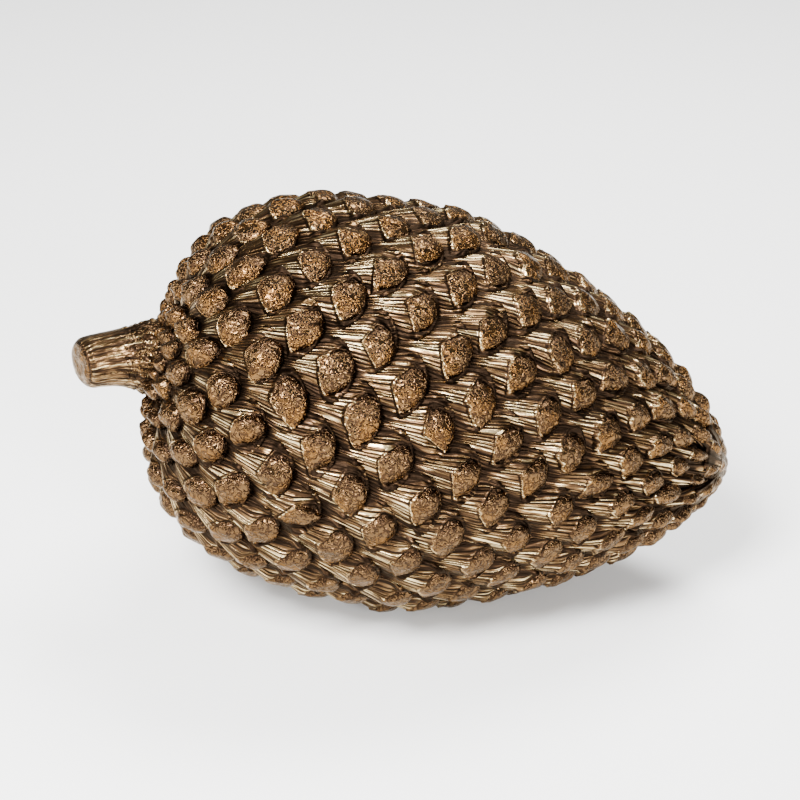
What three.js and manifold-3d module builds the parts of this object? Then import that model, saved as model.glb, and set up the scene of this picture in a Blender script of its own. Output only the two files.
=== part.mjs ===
// A Coulter pine cone cast as a heavy ornament, lying on its side.
// Millimetres, +Z up, standing on z = 0. The stalk is at -X, the tip at +X, and the viewer's side is -Y.
//
// The cone is one casting. Its skin is a surface of revolution that is covered with scales in staggered
// rings. Each scale is a strap that rises towards the tip and ends in a blunt knob that turns back in.
// The scales are raised from the skin by a formula, so skin and scales are one closed mesh, and the
// stalk is joined to it. The knobs that carry the weight are ground flat.

import * as THREE from "three";
import { mergeVertices } from "three/addons/utils/BufferGeometryUtils.js";
import Module from "manifold-3d";

// Driving dimensions of the cone, measured over the tops of its knobs
const BODY_LENGTH = 214;
const BODY_RADIUS = 74.4;
const WIDEST_AT = 100; // distance from the stalk's end of the body
const BASE_FULLNESS = 2.9; // exponent of the blunt end's superellipse
const TIP_BULGE = 1.3; // exponents of the taper towards the tip
const TIP_FULLNESS = 0.585;

// How the cone lies
const NOSE_DOWN_DEG = 12.1; // tilt of the cone's axis, tip downwards
const GROUND_OFF = 3; // depth ground off the lowest knobs

// The scales
const SCALES_PER_RING = 17;
const FIRST_RING_AT = 19.5; // distance over the skin from the stalk's axis to the first ring
const LAST_RING_BEFORE_TIP = 6;
const RING_PITCH = 12.8;
const BASE_RING_PITCH = 4.4; // pitch at the stalk's axis, with its growth over the skin
const BASE_PITCH_GROWTH = 0.155;
const TIP_RING_PITCH = 6.5;
const TIP_PITCH_GROWTH = 0.14;
const SCALE_HEIGHT = 7; // height of a full-sized knob over the skin
const FULL_SCALE_PITCH = 16; // pitch round the ring from which a scale has its full height
const KNOB_HALF_WIDTH = 0.39; // share of the pitch round the ring
const EDGE_DROP = 0.55; // how far a scale sinks at its knob's half width, as a share of its height
const EDGE_ROUNDING = 2.5; // exponent of the arch across a scale
const KNOB_CREST = -0.2; // where the strap turns into the knob, in ring pitches
const KNOB_REACH = 0.5; // length of the knob's fall from its crest, in ring pitches
const STRAP_LENGTH = 1.5; // in ring pitches
const STRAP_START = 0.1; // height where the strap comes out, as a share of the knob's
const KNOB_LEAN = 0.13; // how far a knob leans towards the tip, in ring pitches
const HEIGHT_VARIATION = 0.08;
const TURN_OF_FIRST_SCALE_DEG = -5.5; // from the side that faces the viewer, towards the ground
const VIEW_ELEVATION_DEG = 26; // the turn is counted from the viewer's line of sight

// The mesh: points on the skin for each scale
const COLUMNS_PER_SCALE = 4;
const ROW_PLACES = [-0.42, KNOB_CREST, 0.08, KNOB_CREST + KNOB_REACH]; // counted from the knob, in ring pitches
const SMALL_ROW_PLACES = [-0.34, 0, 0.32];
const SMALL_RING_RADIUS = 46;

// The stalk, from inside the body outwards
const STALK_SIDES = 14;
const STALK_LENGTH = 25;
const STALK_ROOT_DEPTH = 12;
const STALK_ROOT_UP = 1.8; // how far the root's middle stands above the cone's axis
const STALK_LEAN_DOWN_DEG = 9.5; // from the cone's axis, at the root
const STALK_BEND_DOWN_DEG = 3;
const STALK_BEND_FORWARD_DEG = 31;
const STALK_RADIUS = 9.4;
const STALK_FLARE = 4.5; // growth of the radius at the root
const STALK_FLARE_LENGTH = 9;
const STALK_END_ROUNDING = 3.2;
const STALK_STEPS = 7;

const wasm = await Module();
wasm.setup();

// Profile of the cone over its knobs: the radius at a distance from the stalk's end.
function envelopeRadius(along) {
  if (along <= WIDEST_AT) {
    const share = 1 - Math.max(0, along) / WIDEST_AT;
    return BODY_RADIUS * Math.pow(1 - Math.pow(share, BASE_FULLNESS), 1 / BASE_FULLNESS);
  }
  const share = Math.min(1, (along - WIDEST_AT) / (BODY_LENGTH - WIDEST_AT));
  return BODY_RADIUS * Math.pow(1 - Math.pow(share, TIP_BULGE), TIP_FULLNESS);
}

// The profile as points at even steps of its own angle, with the length of the curve up to each.
function walkProfile(steps = 2000) {
  const walk = [];
  let length = 0;
  for (let i = 0; i <= steps; i++) {
    const along = (BODY_LENGTH * (1 - Math.cos((Math.PI * i) / steps))) / 2;
    const point = new THREE.Vector2(along, envelopeRadius(along));
    if (i > 0) length += point.distanceTo(walk[i - 1].point);
    walk.push({ point, length });
  }
  return walk;
}

const PROFILE = walkProfile();
const PROFILE_LENGTH = PROFILE[PROFILE.length - 1].length;

// Point and outward normal of the profile at a length along its curve.
function profileAt(length) {
  const wanted = THREE.MathUtils.clamp(length, 0, PROFILE_LENGTH);
  let high = PROFILE.findIndex((entry) => entry.length >= wanted);
  high = Math.max(high, 1);
  const [before, after] = [PROFILE[high - 1], PROFILE[high]];
  const share = (wanted - before.length) / (after.length - before.length);
  const point = before.point.clone().lerp(after.point, share);
  const tangent = after.point.clone().sub(before.point).normalize();
  return { point, tangent, normal: new THREE.Vector2(-tangent.y, tangent.x) };
}

// Pitch of the rings: smaller round the stalk and towards the tip.
function ringPitch(length) {
  const fromBase = BASE_RING_PITCH + BASE_PITCH_GROWTH * length;
  const fromTip = TIP_RING_PITCH + TIP_PITCH_GROWTH * (PROFILE_LENGTH - length);
  return Math.min(fromBase, fromTip, RING_PITCH);
}

// Lengths along the profile at which the rings' knobs stand.
function ringLengths() {
  const rings = [FIRST_RING_AT];
  while (true) {
    const last = rings[rings.length - 1];
    const next = last + ringPitch(last);
    if (next > PROFILE_LENGTH - LAST_RING_BEFORE_TIP) return rings;
    rings.push(next);
  }
}

const RINGS = ringLengths();

// Length along the profile at a ring number that needn't be whole.
function lengthAtRing(ring) {
  const low = THREE.MathUtils.clamp(Math.floor(ring), 0, RINGS.length - 2);
  return RINGS[low] + (ring - low) * (RINGS[low + 1] - RINGS[low]);
}

// A repeatable number from -1 to 1 for a scale.
function variation(ring, column) {
  const wave = Math.sin(ring * 127.1 + column * 311.7) * 43758.5453;
  return 2 * (wave - Math.floor(wave)) - 1;
}

function smoothStep(value) {
  const t = THREE.MathUtils.clamp(value, 0, 1);
  return t * t * (3 - 2 * t);
}

// Height share of a scale at a place counted from its knob: past, in ring pitches, and aside, in scale pitches.
function scaleShare(past, aside) {
  const across = 1 - EDGE_DROP * Math.pow(Math.abs(aside) / KNOB_HALF_WIDTH, EDGE_ROUNDING);
  if (across <= 0) return 0;
  if (past < KNOB_CREST) {
    if (past < -STRAP_LENGTH) return 0;
    const rise = smoothStep((past + STRAP_LENGTH) / (STRAP_LENGTH + KNOB_CREST));
    return across * (STRAP_START + (1 - STRAP_START) * rise);
  }
  const fall = (past - KNOB_CREST) / KNOB_REACH;
  return fall < 1 ? across * Math.sqrt(1 - fall * fall) : 0;
}

// Relief at a ring number and a column number: the highest scale there, and how much of it is knob.
function reliefAt(ring, column) {
  let share = 0;
  let knob = 0;
  for (let near = Math.floor(ring) - 1; near <= Math.ceil(ring) + 2; near++) {
    if (near < 0 || near >= RINGS.length) continue;
    const stagger = near % 2 ? 0.5 : 0;
    const nearest = Math.round(column - stagger);
    const index = ((nearest % SCALES_PER_RING) + SCALES_PER_RING) % SCALES_PER_RING;
    const growth = 1 + HEIGHT_VARIATION * variation(near, index);
    const here = growth * scaleShare(ring - near, column - stagger - nearest);
    if (here > share) {
      share = here;
      knob = ring - near > 2 * KNOB_CREST ? here : 0;
    }
  }
  return { share, knob };
}

// Point of the cone's outside, in the cone's own frame: X along its axis, from the stalk to the tip.
function skinPoint(ring, column) {
  const length = lengthAtRing(ring);
  const pitch = ringPitch(length);
  const { point, tangent, normal } = profileAt(length);
  const scalePitch = (2 * Math.PI * point.y) / SCALES_PER_RING;
  const height = SCALE_HEIGHT * Math.min(1, pitch / RING_PITCH, scalePitch / FULL_SCALE_PITCH);
  const { share, knob } = reliefAt(ring, column);
  const place = point
    .clone()
    .addScaledVector(normal, height * (share - 1))
    .addScaledVector(tangent, KNOB_LEAN * pitch * knob);
  const turn = THREE.MathUtils.degToRad(TURN_OF_FIRST_SCALE_DEG - VIEW_ELEVATION_DEG);
  const angle = turn + (2 * Math.PI * column) / SCALES_PER_RING;
  return new THREE.Vector3(place.x, -place.y * Math.cos(angle), -place.y * Math.sin(angle));
}

// Ring numbers of the mesh's rows, from the stalk to the tip.
function rowRings() {
  return RINGS.flatMap((length, ring) => {
    const radius = profileAt(length).point.y;
    const places = radius < SMALL_RING_RADIUS ? SMALL_ROW_PLACES : ROW_PLACES;
    return places.map((place) => ring + place);
  });
}

// A closed mesh from rows of points, each row a closed loop, with a point at each end.
function closedFromRows(rows, start, end) {
  const sides = rows[0].length;
  const points = [start, ...rows.flat(), end];
  const at = (row, side) => 1 + row * sides + (side % sides);
  const index = [];
  for (let side = 0; side < sides; side++) {
    index.push(0, at(0, side), at(0, side + 1));
    for (let row = 0; row + 1 < rows.length; row++) {
      const [a, b] = [at(row, side), at(row, side + 1)];
      const [c, d] = [at(row + 1, side), at(row + 1, side + 1)];
      index.push(a, c, b, b, c, d);
    }
    index.push(at(rows.length - 1, side), points.length - 1, at(rows.length - 1, side + 1));
  }
  const geometry = new THREE.BufferGeometry().setFromPoints(points);
  geometry.setIndex(index);
  return geometry;
}

function coneBody() {
  const columns = SCALES_PER_RING * COLUMNS_PER_SCALE;
  const rows = rowRings().map((ring) =>
    Array.from({ length: columns }, (_, k) => skinPoint(ring, k / COLUMNS_PER_SCALE)),
  );
  const start = new THREE.Vector3(rows[0][0].x + 1, 0, 0);
  const end = new THREE.Vector3(BODY_LENGTH - 0.3 * SCALE_HEIGHT, 0, 0);
  return closedFromRows(rows, start, end);
}

// Direction of the stalk at a share of its length: it leaves near the axis and bends down and forward.
function stalkDirection(share) {
  const down = THREE.MathUtils.degToRad(STALK_LEAN_DOWN_DEG + STALK_BEND_DOWN_DEG * share);
  const forward = THREE.MathUtils.degToRad(STALK_BEND_FORWARD_DEG) * share;
  return new THREE.Vector3(-1, 0, 0)
    .applyAxisAngle(new THREE.Vector3(0, 1, 0), -down)
    .applyAxisAngle(new THREE.Vector3(0, 0, 1), forward);
}

function stalkRadius(distance) {
  const flare = STALK_FLARE * Math.exp(-Math.max(0, distance) / STALK_FLARE_LENGTH);
  const fromEnd = STALK_LENGTH - distance;
  const rounding = fromEnd < STALK_END_ROUNDING
    ? STALK_END_ROUNDING - Math.sqrt(STALK_END_ROUNDING ** 2 - (STALK_END_ROUNDING - fromEnd) ** 2)
    : 0;
  return STALK_RADIUS + flare - rounding;
}

function stalk() {
  const centre = new THREE.Vector3(STALK_ROOT_DEPTH, 0, STALK_ROOT_UP);
  const start = centre.clone();
  const distances = [-STALK_ROOT_DEPTH];
  for (let k = 0; k <= STALK_STEPS; k++) {
    distances.push(((STALK_LENGTH - STALK_END_ROUNDING) * k) / STALK_STEPS);
  }
  distances.push(STALK_LENGTH - 0.3 * STALK_END_ROUNDING, STALK_LENGTH);
  const rows = [];
  distances.forEach((distance, k) => {
    const direction = stalkDirection(Math.max(0, distance) / STALK_LENGTH);
    if (k > 0) centre.addScaledVector(direction, distance - distances[k - 1]);
    const side = new THREE.Vector3(0, 0, 1).cross(direction).normalize();
    const up = direction.clone().cross(side);
    const radius = stalkRadius(distance);
    rows.push(
      Array.from({ length: STALK_SIDES }, (_, i) => {
        const angle = (2 * Math.PI * i) / STALK_SIDES;
        return centre.clone()
          .addScaledVector(side, radius * Math.cos(angle))
          .addScaledVector(up, radius * Math.sin(angle));
      }),
    );
  });
  return closedFromRows(rows, start, centre.clone());
}

// A closed geometry as a solid that can be joined and cut, with its faces turned outwards.
function solidOf(geometry) {
  const bare = geometry.clone();
  bare.deleteAttribute("normal");
  bare.deleteAttribute("uv");
  const merged = mergeVertices(bare, 1e-4);
  const make = (triVerts) =>
    new wasm.Manifold(
      new wasm.Mesh({ numProp: 3, vertProperties: merged.attributes.position.array, triVerts }),
    );
  const solid = make(new Uint32Array(merged.index.array));
  if (solid.volume() > 0) return solid;
  return make(new Uint32Array(merged.index.array).reverse());
}

function geometryOf(solid) {
  const mesh = solid.getMesh();
  const geometry = new THREE.BufferGeometry();
  geometry.setAttribute("position", new THREE.BufferAttribute(mesh.vertProperties, 3));
  geometry.setIndex(new THREE.BufferAttribute(mesh.triVerts, 1));
  return geometry;
}

// The ground, as a block under z = 0.
function ground() {
  const block = new THREE.BoxGeometry(3 * BODY_LENGTH, 4 * BODY_RADIUS, BODY_RADIUS);
  block.translate(0, 0, -BODY_RADIUS / 2);
  return solidOf(block);
}

function pineCone() {
  const casting = geometryOf(solidOf(coneBody()).add(solidOf(stalk())));
  casting.rotateY(THREE.MathUtils.degToRad(NOSE_DOWN_DEG));
  casting.computeBoundingBox();
  casting.translate(0, 0, -casting.boundingBox.min.z - GROUND_OFF);
  const lying = geometryOf(solidOf(casting).subtract(ground()));
  lying.computeBoundingBox();
  const middle = lying.boundingBox.getCenter(new THREE.Vector3());
  lying.translate(-middle.x, -middle.y, 0);
  const plain = lying.toNonIndexed();
  plain.computeVertexNormals();
  return plain;
}

const bronzePaint = new THREE.MeshStandardMaterial({
  color: 0x7a5c3a,
  roughness: 0.38,
  metalness: 0.85,
});

const cone = new THREE.Mesh(pineCone(), bronzePaint);
cone.name = "pine_cone";

const part = new THREE.Group();
part.add(cone);

export default part;
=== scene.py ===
# A Coulter pine cone cast in bronze, lying on its side on a pale floor.
# Metres in Blender; the dictionaries give millimetres and degrees where they don't say otherwise.
import math
from functools import partial

import bmesh
import bpy
import numpy as np
from mathutils import Matrix, Vector, noise


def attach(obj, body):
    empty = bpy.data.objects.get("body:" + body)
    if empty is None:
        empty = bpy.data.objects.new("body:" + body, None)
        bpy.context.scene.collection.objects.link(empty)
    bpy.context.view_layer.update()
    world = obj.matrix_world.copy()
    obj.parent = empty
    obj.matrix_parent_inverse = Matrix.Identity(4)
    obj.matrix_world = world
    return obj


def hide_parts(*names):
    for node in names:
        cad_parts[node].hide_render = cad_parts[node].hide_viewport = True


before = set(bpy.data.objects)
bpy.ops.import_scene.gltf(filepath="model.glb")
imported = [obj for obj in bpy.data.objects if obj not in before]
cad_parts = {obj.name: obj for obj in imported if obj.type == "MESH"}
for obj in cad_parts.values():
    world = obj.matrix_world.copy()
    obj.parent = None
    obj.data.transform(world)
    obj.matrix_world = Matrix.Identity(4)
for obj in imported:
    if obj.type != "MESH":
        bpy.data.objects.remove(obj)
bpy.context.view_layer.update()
print("frame loaded:", sorted(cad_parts))

mm = 0.001

# The cone's own shape and the rings that its scales stand in, as the casting has them
cone = {
    "length": 214.0,
    "radius": 74.4,  # over the knobs
    "widestAt": 100.0,
    "baseFullness": 2.9,
    "tipBulge": 1.3,
    "tipFullness": 0.585,
    "nearAxis": 0.05,  # nothing comes closer to the axis or to the outline's ends
    "noseDown": 12.1,
    "stalkEnd": (-91.05, 0.07, 90.51),  # where the cone's axis starts, above the floor
    "perRing": 17,
    "firstRing": 19.5,  # over the skin from the axis
    "lastBeforeTip": 6.0,
    "ringPitch": 12.8,
    "basePitch": 4.4,
    "basePitchGrowth": 0.155,
    "tipPitch": 6.5,
    "tipPitchGrowth": 0.14,
    "scaleHeight": 7.0,
    "smallRelief": 0.7,  # how much higher small scales stand for their size
    "smallUntil": 0.45,  # a scale counts as small when this share of the full size is missing
    "fullScalePitch": 16.0,
    "firstTurn": -31.5,  # of the first scale, from level towards the viewer; less than 0 is higher
}


def rise(value, low, high):
    # 0 below low, 1 above high, and a smooth rise from one to the other
    t = np.clip((value - low) / (high - low), 0, 1)
    return t * t * (3 - 2 * t)


def bell(value, width):
    return np.exp(-(value / width) ** 2)


def profileCurve(steps=4000):
    along = cone["length"] * (1 - np.cos(np.linspace(0, math.pi, steps))) / 2
    base = np.clip(1 - along / cone["widestAt"], 0, 1)
    tip = np.clip((along - cone["widestAt"]) / (cone["length"] - cone["widestAt"]), 0, 1)
    blunt = (1 - base ** cone["baseFullness"]) ** (1 / cone["baseFullness"])
    taper = (1 - tip ** cone["tipBulge"]) ** cone["tipFullness"]
    radius = cone["radius"] * np.where(along < cone["widestAt"], blunt, taper)
    step = np.hypot(np.diff(along), np.diff(radius))
    return along, radius, np.concatenate([[0], np.cumsum(step)])


curveAlong, curveRadius, curveLength = profileCurve()
skinLength = curveLength[-1]


def profileAt(length):
    # place, radius and direction of the outline at a length over the skin
    length = np.clip(length, cone["nearAxis"], skinLength - cone["nearAxis"])
    along = np.interp(length, curveLength, curveAlong)
    radius = np.interp(length, curveLength, curveRadius)
    step = 0.4
    before = np.clip(length - step, 0, skinLength)
    after = np.clip(length + step, 0, skinLength)
    dAlong = np.interp(after, curveLength, curveAlong) - np.interp(before, curveLength, curveAlong)
    dRadius = np.interp(after, curveLength, curveRadius) - np.interp(before, curveLength, curveRadius)
    size = np.hypot(dAlong, dRadius)
    return along, radius, dAlong / size, dRadius / size


def ringPitch(length):
    fromBase = cone["basePitch"] + cone["basePitchGrowth"] * length
    fromTip = cone["tipPitch"] + cone["tipPitchGrowth"] * (skinLength - length)
    return np.minimum(np.minimum(fromBase, fromTip), cone["ringPitch"])


def ringLengths():
    rings = [cone["firstRing"]]
    while True:
        following = rings[-1] + ringPitch(rings[-1])
        if following > skinLength - cone["lastBeforeTip"]:
            return np.array(rings)
        rings.append(following)


rings = ringLengths()
print("rings:", len(rings), "of", cone["perRing"], "scales")


def lengthAtRing(ring):
    low = np.clip(np.floor(ring).astype(int), 0, len(rings) - 2)
    return rings[low] + (ring - low) * (rings[low + 1] - rings[low])


def smallness(share):
    # 1 for the small scales towards both ends, 0 for the full ones
    return rise(1 - share, 0, cone["smallUntil"])


def scaleHeight(length):
    # how high a knob stands over the core, and its size as a share of a full scale's
    radius = profileAt(length)[1]
    room = 2 * math.pi * radius / cone["perRing"] / cone["fullScalePitch"]
    share = np.minimum(1, np.minimum(ringPitch(length) / cone["ringPitch"], room))
    # small scales stand higher for their size
    return cone["scaleHeight"] * share * (1 + cone["smallRelief"] * smallness(share)), share


def onCone(length, column, height, forward):
    # points of the cone, in mm: height is counted from the knobs' outline, forward along the skin
    along, radius, tAlong, tRadius = profileAt(length)
    x = along - tRadius * height + tAlong * forward
    r = np.maximum(radius + tAlong * height + tRadius * forward, cone["nearAxis"])
    angle = math.radians(cone["firstTurn"]) + 2 * math.pi * column / cone["perRing"]
    return np.stack([x, -r * np.cos(angle), -r * np.sin(angle)], axis=1)


def layDown(points):
    # from the cone's own frame to the lying casting, in metres
    tilt = np.array(Matrix.Rotation(math.radians(cone["noseDown"]), 3, "Y"))
    return (points @ tilt.T + np.array(cone["stalkEnd"])) * mm


# Helpers for meshes

def linkMesh(name, bm):
    mesh = bpy.data.meshes.new(name)
    bm.to_mesh(mesh)
    bm.free()
    piece = bpy.data.objects.new(name, mesh)
    bpy.context.scene.collection.objects.link(piece)
    return piece


def closeShell(bm, mergeWithin):
    bmesh.ops.remove_doubles(bm, verts=bm.verts, dist=mergeWithin * mm)
    bmesh.ops.holes_fill(bm, edges=[e for e in bm.edges if e.is_boundary], sides=0)
    bmesh.ops.recalc_face_normals(bm, faces=bm.faces)


def giveValues(mesh, name, values):
    kind = "FLOAT_VECTOR" if values.ndim == 2 else "FLOAT"
    layer = mesh.attributes.new(name, kind, "POINT")
    layer.data.foreach_set("vector" if values.ndim == 2 else "value", values.astype(np.float32).ravel())


def smoothFaces(mesh):
    mesh.polygons.foreach_set("use_smooth", np.ones(len(mesh.polygons), dtype=bool))


def ownPlace(piece, name="own"):
    # each vertex's place in millimetres, kept as values so that patterns don't depend on the object
    coords = np.empty(len(piece.data.vertices) * 3, dtype=np.float32)
    piece.data.vertices.foreach_get("co", coords)
    giveValues(piece.data, name, coords.reshape(-1, 3) / mm)


# The scales. Along the cone their parts are counted in ring pitches from the knob, across it in scale
# pitches, and heights in the height of a knob.

scale = {
    "start": -1.75,  # where the strap comes out
    "end": 0.5,
    "startWidth": 0.27,  # half widths
    "endWidth": 0.45,
    "cornersBack": 0.5,  # how far the corners of its end lie back
    "strapStart": 0.28,
    "strapEnd": 0.52,
    "arch": 0.22,
    "rampFrom": -1.5,
    "rampTo": -0.4,
    "ramp": 0.92,  # height of the strap's middle where it meets the knob
    "rampWidth": 0.25,
    "tongueFall": 0.3,  # how far the strap sinks again beyond the knob
    "roundFall": 0.35,  # how much lower it is at a round lump
    "lip": 0.34,  # of the strap's end, round the knob
    "lipReach": (0.5, 0.4),
    "lipWidth": 0.13,
    "dent": 0.16,  # behind each of the knobs before it
    "dentWidth": 0.25,
    "knobsBefore": ((-2, 0), (-1, -0.5), (-1, 0.5)),
    "pitchRatio": 2.1,  # a scale pitch in ring pitches, for the knob's round shape
    "knobAlong": 0.44,
    "knobAcross": 0.33,
    "crest": 0.24,  # how far the pitted face reaches back from the knob's middle
    "facetFall": 0.28,
    "roof": 0.18,
    "roundUntil": 100.0,  # scales nearer to the stalk turn to round lumps, in mm over the skin
    "roundFade": 60.0,  # over which they do
    "lastRings": {-2: 12, -1: 8},  # fewer scales round the very tip

    # relief and mesh, in mm
    "lean": 1.8,  # of the knob's far side towards the tip
    "overhang": 0.35,  # of its crest, back over the strap
    "groovePitch": 1.5,
    "grooveDepth": 0.6,
    "pitDepth": 0.6,
    "pitSize": 3.4,
    "widePitch": 27.0,  # from scale to scale where the cone is widest
    "skirt": 2.6,  # how deep a scale's walls stand in the core
    "fine": (26, 50),
    "middling": (18, 34),
    "small": (15, 22),
    "middlingRadius": 52.0,
    "smallRadius": 34.0,

    # how far one scale strays from the next, with turns in radians
    "strayAlong": 0.045,
    "strayAcross": 0.02,
    "strayYaw": 0.035,
    "strayWidth": 0.035,
    "strayKnobSize": 0.07,
    "knobTurn": (0.12, 0.22),  # mean and spread
    "strayKnobAcross": 0.03,
    "baseCurve": (1.0, 1.3),  # of the knob's outline: 1 runs straight to a point, 2 is round
    "strayHeight": 0.035,
    "seed": 7,
}


def scaleTemplate(rows, columns):
    # a flat sheet of faces with walls and a floor, that each scale is shaped from
    bm = bmesh.new()
    bmesh.ops.create_grid(bm, x_segments=rows, y_segments=columns, size=1)
    rim = [e for e in bm.edges if e.is_boundary]
    walls = bmesh.ops.extrude_edge_only(bm, edges=rim)["geom"]
    lowVerts = [v for v in walls if isinstance(v, bmesh.types.BMVert)]
    bmesh.ops.translate(bm, verts=lowVerts, vec=(0, 0, -1))
    bmesh.ops.holes_fill(bm, edges=[e for e in bm.edges if e.is_boundary], sides=0)
    bmesh.ops.recalc_face_normals(bm, faces=bm.faces)
    mesh = bpy.data.meshes.new("scaleTemplate")
    bm.to_mesh(mesh)
    bm.free()
    coords = np.empty(len(mesh.vertices) * 3)
    mesh.vertices.foreach_get("co", coords)
    coords = coords.reshape(-1, 3)
    return mesh, (coords[:, 0] + 1) / 2, coords[:, 1], coords[:, 2] < -0.5


def ownWays(rng):
    # how one scale differs from its neighbours
    return {
        "along": rng.normal(0, scale["strayAlong"]),
        "across": rng.normal(0, scale["strayAcross"]),
        "yaw": rng.normal(0, scale["strayYaw"]),
        "width": 1 + rng.normal(0, scale["strayWidth"]),
        "knobSize": 1 + rng.normal(0, scale["strayKnobSize"]),
        "knobTurn": rng.normal(*scale["knobTurn"]),
        "knobAcross": rng.normal(0, scale["strayKnobAcross"]),
        "baseCurve": rng.uniform(*scale["baseCurve"]),
        "height": 1 + rng.normal(0, scale["strayHeight"]),
        "phase": rng.uniform(0, 2 * math.pi, 4),
    }


def strapShape(past, aside, across, roundness):
    # the strap's edges rise slowly, and its middle ramps up to the knob
    run = np.clip((past - scale["start"]) / -scale["start"], 0, 1) ** 1.2
    height = scale["strapStart"] + (scale["strapEnd"] - scale["strapStart"]) * run
    height = height * (1 - scale["arch"] * np.abs(across) ** 3)
    height = (height - scale["tongueFall"] * rise(past, -0.1, 0.5)) * (1 - scale["roundFall"] * roundness)
    ramp = np.clip((past - scale["rampFrom"]) / (scale["rampTo"] - scale["rampFrom"]), 0, 1) ** 1.5
    ramp = ramp * rise(past, 0, -0.3) * np.exp(-np.abs(aside / scale["rampWidth"]) ** 2.6)
    height = height + (scale["ramp"] - scale["strapEnd"]) * ramp

    # its end rises again into a lip that runs round the knob
    lipAlong, lipAcross = scale["lipReach"]
    turned = np.hypot((past + 0.02) / lipAlong, aside / lipAcross)
    lip = bell(turned - 0.98, scale["lipWidth"]) * rise(past, -0.25, 0.05)
    height = height + scale["lip"] * lip * (1 - roundness)

    # it is hollow close behind the knobs that stand before it, and the finish paints shadow there by the
    # same mask
    behind = np.zeros_like(past)
    for knobPast, knobAside in scale["knobsBefore"]:
        beyond = past - knobPast - 0.36
        near = bell(np.maximum(beyond, 0), 0.3) * bell(aside - knobAside, scale["dentWidth"])
        behind = np.maximum(behind, near * rise(beyond, -0.5, -0.2))
    return {"height": height - scale["dent"] * behind, "lip": lip, "behind": behind}


def knobShape(past, aside, own, roundness, length):
    # x runs towards the tip and y across, both from the knob's middle
    cos, sin = math.cos(own["knobTurn"]), math.sin(own["knobTurn"])
    sideways = (aside - own["knobAcross"]) * scale["pitchRatio"]
    x, y = cos * past + sin * sideways, -sin * past + cos * sideways

    # its outline, where rim is 1, comes to a point towards the base and is round towards the tip
    size = own["knobSize"] * (1 + 0.08 * roundness + 0.12 * rise(length, 180, 220))
    halfAcross = scale["knobAcross"] * scale["pitchRatio"] * size * np.where(y > 0, 1.1, 0.92)
    baseCurve = own["baseCurve"] + (2.1 - own["baseCurve"]) * roundness
    power = np.where(x < 0, baseCurve, np.where(y > 0, 1.6 + 0.5 * roundness, 2.2))
    fromMiddle = np.abs(x / (scale["knobAlong"] * size)) ** power
    rim = (fromMiddle + np.abs(y / halfAcross) ** power) ** (1 / power)

    # the pitted face starts at a crest, and the strap's ridges run up to it
    crest = scale["crest"] + 0.05 * np.sin(y * 14 + own["phase"][2]) + 0.5 * roundness
    crest = crest + 0.2 * np.clip(1 - np.abs(y) / 0.45, 0, 1)
    padEdge = np.maximum(rim, 0.98 - (x + crest) * 1.3)

    # a low ledge towards the base, rounded off towards the tip
    tipSide = rise(x, -0.12, 0.18)
    ledgeWidth = 0.08 + 0.3 * rise(-y, 0, 0.3)
    ledge = 1 - rise(rim, 1.03 - ledgeWidth, 1.03)
    dome = np.sqrt(np.clip(1 - (rim / 1.05) ** (3.0 - 1.1 * roundness), 0, 1))
    facets = 1 - scale["facetFall"] * rise(x, -0.2, 0.6) - scale["roof"] * np.abs(y) / 0.7
    facets = facets - 0.08 * np.clip(rim, 0, 1) ** 3
    onDome = tipSide + (1 - tipSide) * roundness
    height = (ledge * (1 - onDome) + dome * onDome) * facets
    return {"height": height, "x": x, "y": y, "rim": rim, "padEdge": padEdge, "tipSide": tipSide}


def strapRidges(past, across, halfWidth, phase):
    # uneven ridges, counted from the strap's middle, and the depth of the grooves between them
    count = max(3, round(2 * halfWidth / scale["groovePitch"]))
    uneven = 0.035 * np.sin(across * 9 + phase[1]) + 0.02 * np.sin(across * 17 + phase[3])
    ridge = count * (across + uneven) / 2 + 0.1 * np.sin(past * 2.7 + across * 4 + phase[0])
    depth = 0.65 + 0.35 * np.sin(across * 9 + phase[2] + past * 1.5)
    return ridge, (0.5 - 0.5 * np.cos(2 * math.pi * ridge)) ** 1.5 * depth


def castPits(past, aside, phase):
    # 0 at the bottom of a pit, 1 between the pits
    xs = past * cone["ringPitch"] / scale["pitSize"] + phase[3] * 9
    ys = aside * scale["widePitch"] / scale["pitSize"]
    grain = np.array([noise.noise(Vector((x, y, phase[0] * 7))) for x, y in zip(xs, ys)])
    return np.clip(0.5 + grain * 1.1, 0, 1)


def patinaAndPaintedLight(past, aside, across, share, strap, knob, isKnob):
    # 0 where a hand rubs the casting or a highlight is painted, 1 in the patina of the gaps and where
    # shade is painted
    offKnob = 1 - isKnob
    # darker where the scale lies low
    hollow = 1.3 * np.clip(0.5 - share, 0, 1)
    # painted shadow on the strap beyond its knob, and behind the knobs that stand before it
    hollow = hollow + (0.5 * rise(past, 0.1, 0.4) * (1 - strap["lip"]) + 0.55 * strap["behind"]) * offKnob
    # painted shade along the tongue's sides, between it and its neighbours
    hollow = hollow + 0.5 * rise(np.abs(across), 0.75, 1) * offKnob
    # painted shade on the knob's far side, towards the tip and upwards
    hollow = hollow + 0.3 * rise(knob["rim"], 0.5, 1) * rise(knob["x"] - knob["y"], -0.3, 0.3) * isKnob
    # painted shadow on the strap just beyond the knob, towards the tip
    hollow = hollow + 0.45 * bell(knob["rim"] - 1.12, 0.22) * offKnob * rise(knob["x"], -0.3, 0.1)
    # a painted highlight along the middle of the strap, with painted shade beside it
    paintedStrapHighlight = bell(past + 0.85, 0.35) * bell(aside, 0.2)
    return hollow + 0.3 * (1 - paintedStrapHighlight) * offKnob


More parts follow.
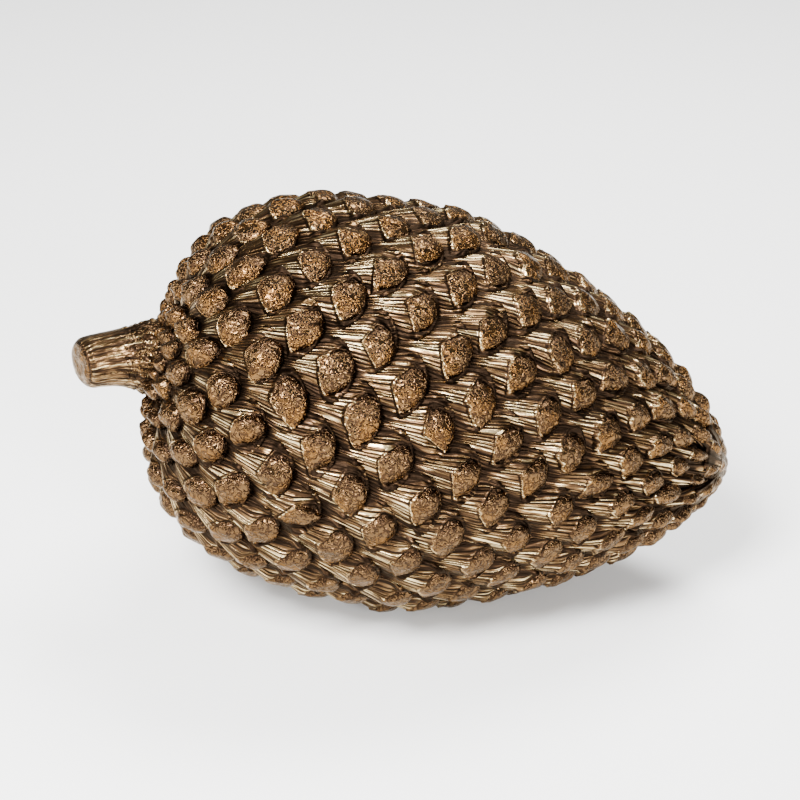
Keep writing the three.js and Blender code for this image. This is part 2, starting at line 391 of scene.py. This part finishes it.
def shapeScale(ring, column, spacing, template, rng):
    mesh, along, across, isFloor = template
    own = ownWays(rng)
    phase = own["phase"]
    length = rings[ring]
    high, fade = scaleHeight(length)
    nearStalk = rise(length, scale["roundUntil"], scale["roundUntil"] - scale["roundFade"])
    roundness = np.maximum(smallness(fade), nearStalk)

    # where each point lies, with more rows of faces in the half that has the knob
    spread = np.interp(along, [0, 0.3, 1], [0, 0.5, 1])
    past = scale["start"] + (scale["end"] - scale["start"]) * spread
    past = past - scale["cornersBack"] * np.abs(across) ** 2.4 * rise(spread, 0.35, 1)
    width = scale["startWidth"] + (scale["endWidth"] - scale["startWidth"]) * rise(1.2 * spread, 0, 1)
    aside = across * width * own["width"]

    strap = strapShape(past, aside, across, roundness)
    knob = knobShape(past, aside, own, roundness, length)
    isKnob = rise(knob["height"] - strap["height"], -0.03, 0.05) * (knob["rim"] < 1.12)
    share = np.maximum(strap["height"], knob["height"])

    # grooves along the strap and pits in the knob
    halfWidth = scale["endWidth"] * 2 * math.pi * profileAt(length)[1] / cone["perRing"]
    ridge, groove = strapRidges(past, across, halfWidth, phase)
    groove = groove * rise(knob["padEdge"], 0.98, 1.13) * (1 - rise(np.abs(across), 0.93, 1))
    pitted = (1 - castPits(past, aside, phase)) * isKnob * rise(knob["padEdge"], 1.04, 0.92)

    height = high * (share * own["height"] - 1)
    height = height - fade * (scale["grooveDepth"] * groove + scale["pitDepth"] * pitted)
    height = np.where(isFloor, -high - scale["skirt"] * max(fade, 0.4), height)
    forward = scale["lean"] * knob["tipSide"] - scale["overhang"] * (1 - knob["tipSide"])
    placeAlong = lengthAtRing(ring + past + own["along"] + own["yaw"] * aside * scale["pitchRatio"])
    turn = column + (aside + own["across"] + own["yaw"] * past / scale["pitchRatio"]) * spacing
    place = onCone(placeAlong, turn, height, fade * isKnob * forward)

    # values for the finish: how dark each point is with patina, painted shade and a painted highlight,
    # where it lies on its knob, how far it is along which ridge, and how near to the strap's edge
    patinaAndPaintedShade = patinaAndPaintedLight(past, aside, across, share, strap, knob, isKnob) + 0.2 * pitted
    patinaAndPaintedShade = np.where(isFloor, 1.0, np.clip(patinaAndPaintedShade, 0, 1))
    pad = np.stack([knob["padEdge"], knob["x"], knob["y"]], axis=1)
    strand = np.full_like(past, column * 3.7 + ring * 11.3)  # keeps each scale's pattern apart
    flow = np.stack([past * cone["ringPitch"], ridge, strand], axis=1)
    edge = np.where(isFloor, 0.0, np.abs(across))
    return {"place": place, "patinaAndPaintedShade": patinaAndPaintedShade, "pad": pad, "flow": flow, "edge": edge}


def templateFor(radius):
    if radius < scale["smallRadius"]:
        return smallTemplate
    return middlingTemplate if radius < scale["middlingRadius"] else fineTemplate


def buildScales(name, ringNumbers):
    rng = np.random.default_rng(scale["seed"] + ringNumbers[0])
    bm = bmesh.new()
    parts = []
    for ring in ringNumbers:
        template = templateFor(profileAt(rings[ring])[1])
        stagger = 0.5 if ring % 2 else 0.0
        spacing = cone["perRing"] / scale["lastRings"].get(ring - len(rings), cone["perRing"])
        for column in np.arange(stagger, cone["perRing"], spacing):
            bm.from_mesh(template[0])
            parts.append(shapeScale(ring, column, spacing, template, rng))
    piece = linkMesh(name, bm)
    values = {key: np.concatenate([part[key] for part in parts]) for key in parts[0]}
    place = layDown(values.pop("place"))
    place[:, 2] = np.maximum(place[:, 2], 0)  # the lowest knobs are ground flat
    piece.data.vertices.foreach_set("co", place.astype(np.float32).ravel())
    piece.data.update()
    for key, layer in values.items():
        giveValues(piece.data, key, layer)
    ownPlace(piece)
    smoothFaces(piece.data)
    return piece


fineTemplate = scaleTemplate(*scale["fine"])
middlingTemplate = scaleTemplate(*scale["middling"])
smallTemplate = scaleTemplate(*scale["small"])
bands = {
    "scales_base": range(0, 6),
    "scales_shoulder": range(6, 9),
    "scales_belly": range(9, 12),
    "scales_waist": range(12, 15),
    "scales_taper": range(15, 18),
    "scales_tip": range(18, len(rings)),
}
pieces = [buildScales(name, numbers) for name, numbers in bands.items()]
print("scales made:", sum(len(p.data.polygons) for p in pieces), "faces")


# The core that the scales stand on

core = {
    "rows": 130,
    "columns": 136,
    "leastLength": 6.0,  # over the skin, up to which its depth stays the same
    "sunk": 0.3,  # deeper than the scales' feet
    "rise": 0.6,  # share of its depth that is filled under the last scales
    "riseLength": 20.0,
    "riseFade": 8.0,
    "budLength": 7.0,
    "budFade": 4.0,
    "budLumps": 5,
    "budDents": 1.0,
    "poleFade": 2.0,
    "mergeWithin": 0.2,
}


def buildCore():
    bm = bmesh.new()
    bmesh.ops.create_grid(bm, x_segments=core["rows"], y_segments=core["columns"], size=1)
    coords = np.array([v.co for v in bm.verts])
    length = skinLength * (coords[:, 0] + 1) / 2
    column = cone["perRing"] * (coords[:, 1] + 1) / 2
    # the core rises under the last scales, and ends in a bud
    toTip = skinLength - length
    filled = core["rise"] * rise(toTip, core["riseLength"], core["riseLength"] - core["riseFade"])
    bud = rise(toTip, core["budLength"], core["budLength"] - core["budFade"])
    lumps = 0.5 + 0.5 * np.cos(2 * math.pi * column / cone["perRing"] * core["budLumps"])
    depth = scaleHeight(np.maximum(length, core["leastLength"]))[0] * (1 - filled) + core["sunk"]
    depth = depth * (1 - bud) + core["budDents"] * lumps * bud * rise(toTip, 0, core["poleFade"])
    place = layDown(onCone(length, column, -depth, np.zeros_like(depth)))
    # the core, deep in the gaps, gets full patina and painted shade, its bud none
    patinaAndPaintedShadeLayer = bm.verts.layers.float.new("patinaAndPaintedShade")
    for vert, spot, onBud in zip(bm.verts, place, bud):
        vert.co = spot
        vert[patinaAndPaintedShadeLayer] = 1 - onBud
    closeShell(bm, core["mergeWithin"])
    piece = linkMesh("core", bm)
    giveValues(piece.data, "pad", np.full((len(piece.data.vertices), 3), 0.5))
    ownPlace(piece, "flow")
    ownPlace(piece)
    smoothFaces(piece.data)
    return piece


pieces.append(buildCore())
print("core made")


# The stalk

stalk = {
    "length": 25.0,
    "rootDepth": 12.0,  # inside the cone
    "rootUp": 1.8,
    "leanDown": 9.5,  # from the cone's axis
    "bendDown": 3.0,
    "bendForward": 31.0,
    "radius": 9.4,
    "oval": 0.5,
    "flare": 4.5,
    "flareLength": 9.0,
    "endRounding": 4.2,  # of the cut end's rim
    "endDents": 0.8,
    "endDentSize": 4.0,
    "grooves": 36,
    "grooveDepth": 0.2,
    "crumbs": 1.5,  # at its root
    "crumbLength": 11.0,
    "rows": 60,
    "shaftRows": 0.74,  # share of the rows
    "rimRows": 0.12,
    "columns": 168,
    "mergeWithin": 0.03,
}


def stalkRows(count):
    # distance and inset of each row: along the shaft, round the rim and over the cut end
    length, rounding = stalk["length"], stalk["endRounding"]
    shaft = int(count * stalk["shaftRows"])
    corner = np.linspace(0, math.pi / 2, int(count * stalk["rimRows"]) + 1)[1:]
    faceRows = count - shaft - len(corner)
    distances = list(np.linspace(-stalk["rootDepth"], length - rounding, shaft))
    distances += [length - rounding * (1 - math.sin(a)) for a in corner]
    distances += [length] * faceRows
    insets = [0.0] * shaft + [rounding * (1 - math.cos(a)) for a in corner]
    insets += [rounding + (stalk["radius"] - rounding) * (k + 1) / faceRows for k in range(faceRows)]
    return shaft, distances, insets


def stalkCentres(distances):
    # walks along the bent stalk and gives its middle, its side and its up direction at each distance
    spot = Vector((-distances[0], 0, stalk["rootUp"]))
    centres = []
    for k, distance in enumerate(distances):
        bend = max(0.0, distance) / stalk["length"]
        turn = Matrix.Rotation(math.radians(stalk["bendForward"]) * bend, 3, "Z")
        dip = Matrix.Rotation(-math.radians(stalk["leanDown"] + stalk["bendDown"] * bend), 3, "Y")
        heading = turn @ dip @ Vector((-1, 0, 0))
        if k:
            spot = spot + heading * (distance - distances[k - 1])
        side = Vector((0, 0, 1)).cross(heading).normalized()
        centres.append((spot.copy(), side, heading.cross(side)))
    return centres


def stalkSkin(distance, angle, overEnd):
    # radius, ridge count, groove and crumb at one point of the stalk
    def rough(across, along):
        return noise.noise(Vector((math.cos(angle) * across, math.sin(angle) * across, distance * along)))

    twist = 0.25 * math.sin(angle * 2 + 1) + distance * 0.012
    ridge = (stalk["grooves"] * (angle + 0.08 * twist) + 1.4 * math.sin(angle * 3)) / (2 * math.pi)
    groove = (0.5 - 0.5 * math.cos(2 * math.pi * ridge)) ** 1.3
    groove *= 0.6 + 0.4 * math.sin(angle * 5 + distance * 0.16)
    groove *= 1 - min(1, overEnd * 2.5)
    crumb = max(0.0, 1 - max(0.0, distance) / stalk["crumbLength"]) * rough(9, 0.8)
    radius = stalk["radius"] + stalk["flare"] * math.exp(-max(0, distance) / stalk["flareLength"])
    radius += stalk["oval"] * math.sin(angle * 2 + 0.6) + 0.15 * rough(5, 0.45)
    radius += stalk["crumbs"] * crumb - stalk["grooveDepth"] * groove
    return radius, ridge, groove, crumb


def buildStalk():
    bm = bmesh.new()
    bmesh.ops.create_grid(bm, x_segments=stalk["rows"], y_segments=stalk["columns"], size=1)
    coords = np.array([v.co for v in bm.verts])
    levels = np.unique(np.round(coords[:, 0], 5))
    shaft, distances, insets = stalkRows(len(levels))
    centres = stalkCentres(distances)
    patinaAndPaintedShadeLayer = bm.verts.layers.float.new("patinaAndPaintedShade")
    flowLayer = bm.verts.layers.float_vector.new("flow")
    padLayer = bm.verts.layers.float_vector.new("pad")
    places = []
    for vert in bm.verts:
        row = int(np.searchsorted(levels, round(vert.co.x, 5)))
        distance = distances[row]
        angle = math.pi * (vert.co.y + 1)
        spot, side, up = centres[row]
        overEnd = max(0, row - shaft) / (len(levels) - shaft)
        radius, ridge, groove, crumb = stalkSkin(distance, angle, overEnd)
        radius = max(0.0, radius - insets[row])
        sideways, upwards = radius * math.cos(angle), radius * math.sin(angle)
        out = side * sideways + up * upwards
        if overEnd > 0.3:
            size = stalk["endDentSize"]
            dent = noise.noise(Vector((sideways / size, upwards / size, 4)))
            out = out + side.cross(up) * stalk["endDents"] * dent
        places.append(spot + out)
        # the cut end and the crumbs are pitted like a knob's pad, and rubbed brighter
        padEdge = 1.2 - 0.6 * max(2 * crumb, 3 * overEnd)
        hollow = groove * 0.75 + abs(crumb) * 0.4
        vert[patinaAndPaintedShadeLayer] = 0.42 + hollow * 0.15 - (0.25 if padEdge < 0.8 else 0)
        vert[padLayer] = (padEdge, 0.5, 0)
        # a shallow swing of the ridge count keeps these grooves softer than the straps' are
        vert[flowLayer] = (distance, 0.16 * math.sin(math.pi * ridge), angle * 10)
    for vert, place in zip(bm.verts, layDown(np.array(places))):
        vert.co = place
    closeShell(bm, stalk["mergeWithin"])
    piece = linkMesh("stalk", bm)
    ownPlace(piece)
    smoothFaces(piece.data)
    return piece


pieces.append(buildStalk())
print("stalk made")


# The finish

def linear(hexColour):
    values = [int(hexColour[i:i + 2], 16) / 255 for i in (1, 3, 5)]
    return tuple(v / 12.92 if v <= 0.04045 else ((v + 0.055) / 1.055) ** 2.4 for v in values) + (1,)


def addNode(material, kind, inputs=(), **settings):
    # inputs: plain values, nodes or (node, output) pairs, by socket name or in the node's own order
    node = material.node_tree.nodes.new("ShaderNode" + kind)
    for key, value in settings.items():
        setattr(node, key, value)
    bySocket = inputs if isinstance(inputs, dict) else dict(enumerate(inputs))
    for socket, source in bySocket.items():
        if isinstance(source, bpy.types.Node):
            source = (source, 0)
        if isinstance(source, tuple) and isinstance(source[0], bpy.types.Node):
            material.node_tree.links.new(source[0].outputs[source[1]], node.inputs[socket])
        else:
            node.inputs[socket].default_value = source
    return node


def newMaterial(name):
    material = bpy.data.materials.new(name)
    material.use_nodes = True
    material.node_tree.nodes.clear()
    return material


bronze = {
    # from the hollows to the rubbed edges: patina, brown, bronze and gold
    "tones": ((0.0, "#1e150e"), (0.3, "#402e1f"), (0.68, "#755a39"), (1.0, "#dfc795")),
    "amber": "#6d4a22",
    "glance": "#efe6da",  # where the metal is seen at a flat angle
    # strength of the amber tone on the pads' lower side, painted as reflected light
    "amberToneAndReflection": 0.6,
    "grainSize": 1.9,  # of the cast surface, drawn a little coarse so that it shows
    "cloudSize": 9.0,
    "linesPerRidge": 3.5,
    "patchesPerRidge": 0.9,
    "padTone": (0.1, 0.43),  # from the creases of the grain to its high places
    "hollowTone": 0.75,  # how much darker the patina and painted shade are
    "roughHollow": 0.44,
    "roughEdge": 0.26,
    "padGloss": 0.14,  # how much smoother the knobs' pads are
    "ridgeHeight": 0.5,  # of the relief that is finer than the mesh, in mm
    "lineHeight": 0.36,
    "grainHeight": 0.6,
    "creaseHeight": 0.25,
}


def antiqueBronze():
    # bronze with a dark patina left in the hollows and rubbed gold on the high places, with painted
    # shadow beside the knobs and painted highlights on rims and strap middles: a warm metal shine broken
    # by the cast grain, dull and nearly black where the hand doesn't reach and where shade is painted
    m = newMaterial("antiqueBronze")
    add = partial(addNode, m)
    smooth = {"interpolation_type": "SMOOTHSTEP"}
    times, plus, timesPlus, minus, larger, absolute = ({"operation": kind} for kind in (
        "MULTIPLY", "ADD", "MULTIPLY_ADD", "SUBTRACT", "MAXIMUM", "ABSOLUTE"))

    # what the mesh says of each place: how dark it is with patina and painted shade, and where it lies on
    # its knob and its strap
    patinaAndPaintedShade = (add("Attribute", attribute_name="patinaAndPaintedShade"), "Fac")
    pad = (add("Attribute", attribute_name="pad"), "Vector")
    flow = (add("Attribute", attribute_name="flow"), "Vector")
    edge = (add("Attribute", attribute_name="edge"), "Fac")
    own = (add("Attribute", attribute_name="own"), "Vector")
    padParts = add("SeparateXYZ", [pad])
    padEdge, padAlong, padAcross = ((padParts, part) for part in range(3))
    ridgeCount = (add("SeparateXYZ", [flow]), 1)

    # the cast grain, large soft clouds, and brushed lines that run with the ridges
    grain = add("TexNoise", {
        "Vector": own, "Scale": 1 / bronze["grainSize"], "Detail": 2.0, "Roughness": 0.5,
        "Distortion": 0.5})
    cloud = add("TexNoise", {"Vector": own, "Scale": 1 / bronze["cloudSize"], "Detail": 2.0})
    stretched = add("VectorMath", [flow, (0.12, bronze["linesPerRidge"], 1.0)], **times)
    lines = add("TexNoise", {"Vector": stretched, "Scale": 1.0, "Detail": 2.0, "Roughness": 0.5})

    # the ridges of the straps, the pads of the knobs, a thin painted highlight on the rim towards the
    # base and a painted shadow along the ledge there
    ridge = add("Math", [add("Math", [ridgeCount, math.pi], **times)], operation="COSINE")
    ridge = add("Math", [ridge], **absolute)
    onPad = add("MapRange", [add("Math", [grain, 0.2, padEdge], **timesPlus), 1.1, 1.0], **smooth)
    lower = add("MapRange", [padAcross, -0.2, 0.1], **smooth)
    onStrap = add("Math", [1.0, onPad], **minus)
    clearOfPad = add("MapRange", [padEdge, 1.0, 1.2], **smooth)
    # a painted highlight on the knob's rim, on its lower side towards the base
    fromRim = add("Math", [add("Math", [padEdge, 0.94], **minus)], **absolute)
    atRim = add("MapRange", [fromRim, 0.07, 0.02], **smooth)
    baseSide = add("MapRange", [padAlong, 0.15, -0.05], **smooth)
    rim = add("Math", [add("Math", [atRim, baseSide], **times), lower], **times)
    # a painted shadow along the low ledge, on the knob's lower side towards the base
    fromLedge = add("Math", [add("Math", [padEdge, 1.08], **minus)], **absolute)
    atLedge = add("MapRange", [fromLedge, 0.12, 0.0], **smooth)
    baseSide = add("MapRange", [padAlong, 0.5, 0.1], **smooth)
    paintedLedgeShadow = add("Math", [add("Math", [atLedge, baseSide], **times), lower], **times)

    # how far a strap is rubbed: its ridges, its lines, and some ridges more than others
    perRidge = add("VectorMath", [flow, (0.07, bronze["patchesPerRidge"], 1.0)], **times)
    patches = add("TexNoise", {"Vector": perRidge, "Scale": 1.0, "Detail": 1.0})
    onRidge = add("MapRange", [ridge, 0.1, 0.85], **smooth)
    ridged = add("Math", [onRidge, add("Math", [clearOfPad, -0.55, 0.55], **timesPlus)], **larger)
    onLine = add("MapRange", [lines, 0.34, 0.6, 0.35, 1.05], **smooth)
    strapLevel = add("Math", [ridged, onLine], **times)
    inPatch = add("MapRange", [patches, 0.3, 0.62, 0.45, 1.05], **smooth)
    strapLevel = add("Math", [strapLevel, inPatch], **times)

    # how far a pad is rubbed: dark in the creases of its grain
    fromCrease = add("Math", [add("Math", [grain, 0.5], **minus)], **absolute)
    crease = add("Math", [fromCrease, 2.0], **times)
    padLevel = add("MapRange", [crease, 0.0, 0.16, *bronze["padTone"]], **smooth)
    # the pads' lower side is painted a little lighter, as light from below
    padLevel = add("Math", [lower, 0.04, padLevel], **timesPlus)
    level = add("Mix", {0: onPad, 2: strapLevel, 3: padLevel}, data_type="FLOAT")

    # painted highlights on the rims, here and there, and dark hollows of patina and painted shade
    # a painted highlight along the edges of the tongues
    fromTongue = add("Math", [add("Math", [edge, 0.93], **minus)], **absolute)
    tongueEdgeHighlight = add("Math", [add("MapRange", [fromTongue, 0.06, 0.01], **smooth), onStrap], **times)
    paintedHighlights = add("Math", [rim, add("Math", [tongueEdgeHighlight, 0.7], **times)], **larger)
    paintedHighlights = add("Math", [paintedHighlights, add("MapRange", [cloud, 0.35, 0.6, 0.1, 0.45], **smooth)], **times)
    level = add("Math", [level, paintedHighlights], **plus)
    hollow = add("MapRange", [patinaAndPaintedShade, 0.15, 0.85], **smooth)
    # with the painted shadow along the ledge
    hollow = add("Math", [hollow, add("Math", [paintedLedgeShadow, 0.35], **times)], **larger)
    level = add("Math", [level, add("Math", [hollow, bronze["hollowTone"]], **times)], **minus)

    # the tones, and an amber tone in clouds on the lower side of the pads, painted as light reflected up
    # from the floor
    tones = add("ValToRGB", [level])
    while len(tones.color_ramp.elements) < len(bronze["tones"]):
        tones.color_ramp.elements.new(0.5)
    for element, (place, tone) in zip(tones.color_ramp.elements, bronze["tones"]):
        element.position = place
        element.color = linear(tone)
    inCloud = add("MapRange", [cloud, 0.4, 0.62, 0.0, bronze["amberToneAndReflection"]], **smooth)
    amberToneAndReflection = add("Math", [inCloud, add("Math", [onPad, lower], **times)], **times)
    amberToneAndReflection = add("Math", [amberToneAndReflection, add("MapRange", [level, 0.1, 0.4], **smooth)], **times)
    colour = add("Mix", {0: amberToneAndReflection, 6: tones, 7: linear(bronze["amber"])}, data_type="RGBA")
    rough = add("MapRange", [level, 0.0, 0.5, bronze["roughHollow"], bronze["roughEdge"]], **smooth)
    rough = add("Math", [onPad, -bronze["padGloss"], rough], **timesPlus)

    # relief finer than the mesh, in millimetres: ridges and lines on the straps, pits on the knobs
    lineRelief = add("Math", [lines, bronze["lineHeight"]], **times)
    strapRelief = add("Math", [ridge, bronze["ridgeHeight"], lineRelief], **timesPlus)
    creaseRelief = add("MapRange", [crease, 0.0, 0.25], **smooth)
    creaseRelief = add("Math", [creaseRelief, bronze["creaseHeight"]], **times)
    padRelief = add("Math", [grain, bronze["grainHeight"], creaseRelief], **timesPlus)
    padRelief = add("Math", [padRelief, onPad], **times)
    relief = add("Math", [strapRelief, clearOfPad, padRelief], **timesPlus)
    bump = add("Bump", {"Height": relief, "Strength": 1.0, "Distance": mm})
    shader = add("BsdfPrincipled", {
        "Base Color": (colour, 2), "Metallic": 1.0, "Roughness": rough,
        "Specular Tint": linear(bronze["glance"]), "Normal": bump})
    add("OutputMaterial", {"Surface": shader})
    return m


bronzeFinish = antiqueBronze()
for piece in pieces:
    piece.data.materials.append(bronzeFinish)
    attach(piece, "root")
    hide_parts("pine_cone")
print("finish applied")


# Floor, light and camera, in metres

studio = {
    "floorSize": 12.0,
    "floor": "#fafaf9",
    "world": "#ffffff",
    "worldStrength": 0.45,
    # place, size and power
    "lights": {
        "keyLight": ((-0.42, -0.68, 1.0), (0.45, 0.45), 58),
        "topLight": ((0.25, 0.45, 1.05), (0.7, 0.4), 24),
        "frontLight": ((0.5, -1.15, 0.45), (0.3, 0.4), 21),
        "leftLight": ((-1.1, -0.5, 0.35), (0.35, 0.5), 9),
    },
    "lightsAim": (0, 0, 0.07),
    "lens": 100.0,  # in mm, for a sensor as wide as full frame
    "sensor": 36,
    "distance": 0.8,
    "elevation": 26.0,
    "aimAlong": 92.0,  # on the cone's axis from its stalk end, in mm
    "aimUp": 1.9,  # over the axis in the picture, in mm
}


def buildFloor():
    bm = bmesh.new()
    bmesh.ops.create_grid(bm, x_segments=1, y_segments=1, size=studio["floorSize"] / 2)
    floor = linkMesh("floor", bm)
    m = newMaterial("whitePaper")  # matt, so it takes a soft shadow and no reflection
    shader = addNode(m, "BsdfPrincipled", {
        "Base Color": linear(studio["floor"]), "Roughness": 0.9, "Specular IOR Level": 0.1})
    addNode(m, "OutputMaterial", {"Surface": shader})
    floor.data.materials.append(m)


def aimed(thing, spot, target):
    thing.location = spot
    thing.rotation_mode = "QUATERNION"
    thing.rotation_quaternion = (Vector(target) - Vector(spot)).to_track_quat("-Z", "Y")
    bpy.context.scene.collection.objects.link(thing)


def buildLights():
    world = bpy.data.worlds.new("studioWalls")
    bpy.context.scene.world = world
    world.use_nodes = True
    background = world.node_tree.nodes["Background"]
    background.inputs["Color"].default_value = linear(studio["world"])
    background.inputs["Strength"].default_value = studio["worldStrength"]
    for name, (spot, size, power) in studio["lights"].items():
        light = bpy.data.lights.new(name, "AREA")
        light.shape = "RECTANGLE"
        light.size, light.size_y = size
        light.energy = power
        aimed(bpy.data.objects.new(name, light), spot, studio["lightsAim"])


def buildCamera():
    down = math.radians(studio["elevation"])
    sight = Vector((0, math.cos(down), -math.sin(down)))
    upward = Vector((0, math.sin(down), math.cos(down)))
    onAxis = Vector(layDown(np.array([[studio["aimAlong"], 0, 0]]))[0])
    target = onAxis + upward * studio["aimUp"] * mm
    camera = bpy.data.cameras.new("camera")
    camera.lens = studio["lens"]
    camera.sensor_width = studio["sensor"]
    cameraObject = bpy.data.objects.new("camera", camera)
    aimed(cameraObject, target - sight * studio["distance"], target)
    bpy.context.scene.camera = cameraObject


buildFloor()
buildLights()
buildCamera()
print("studio ready")
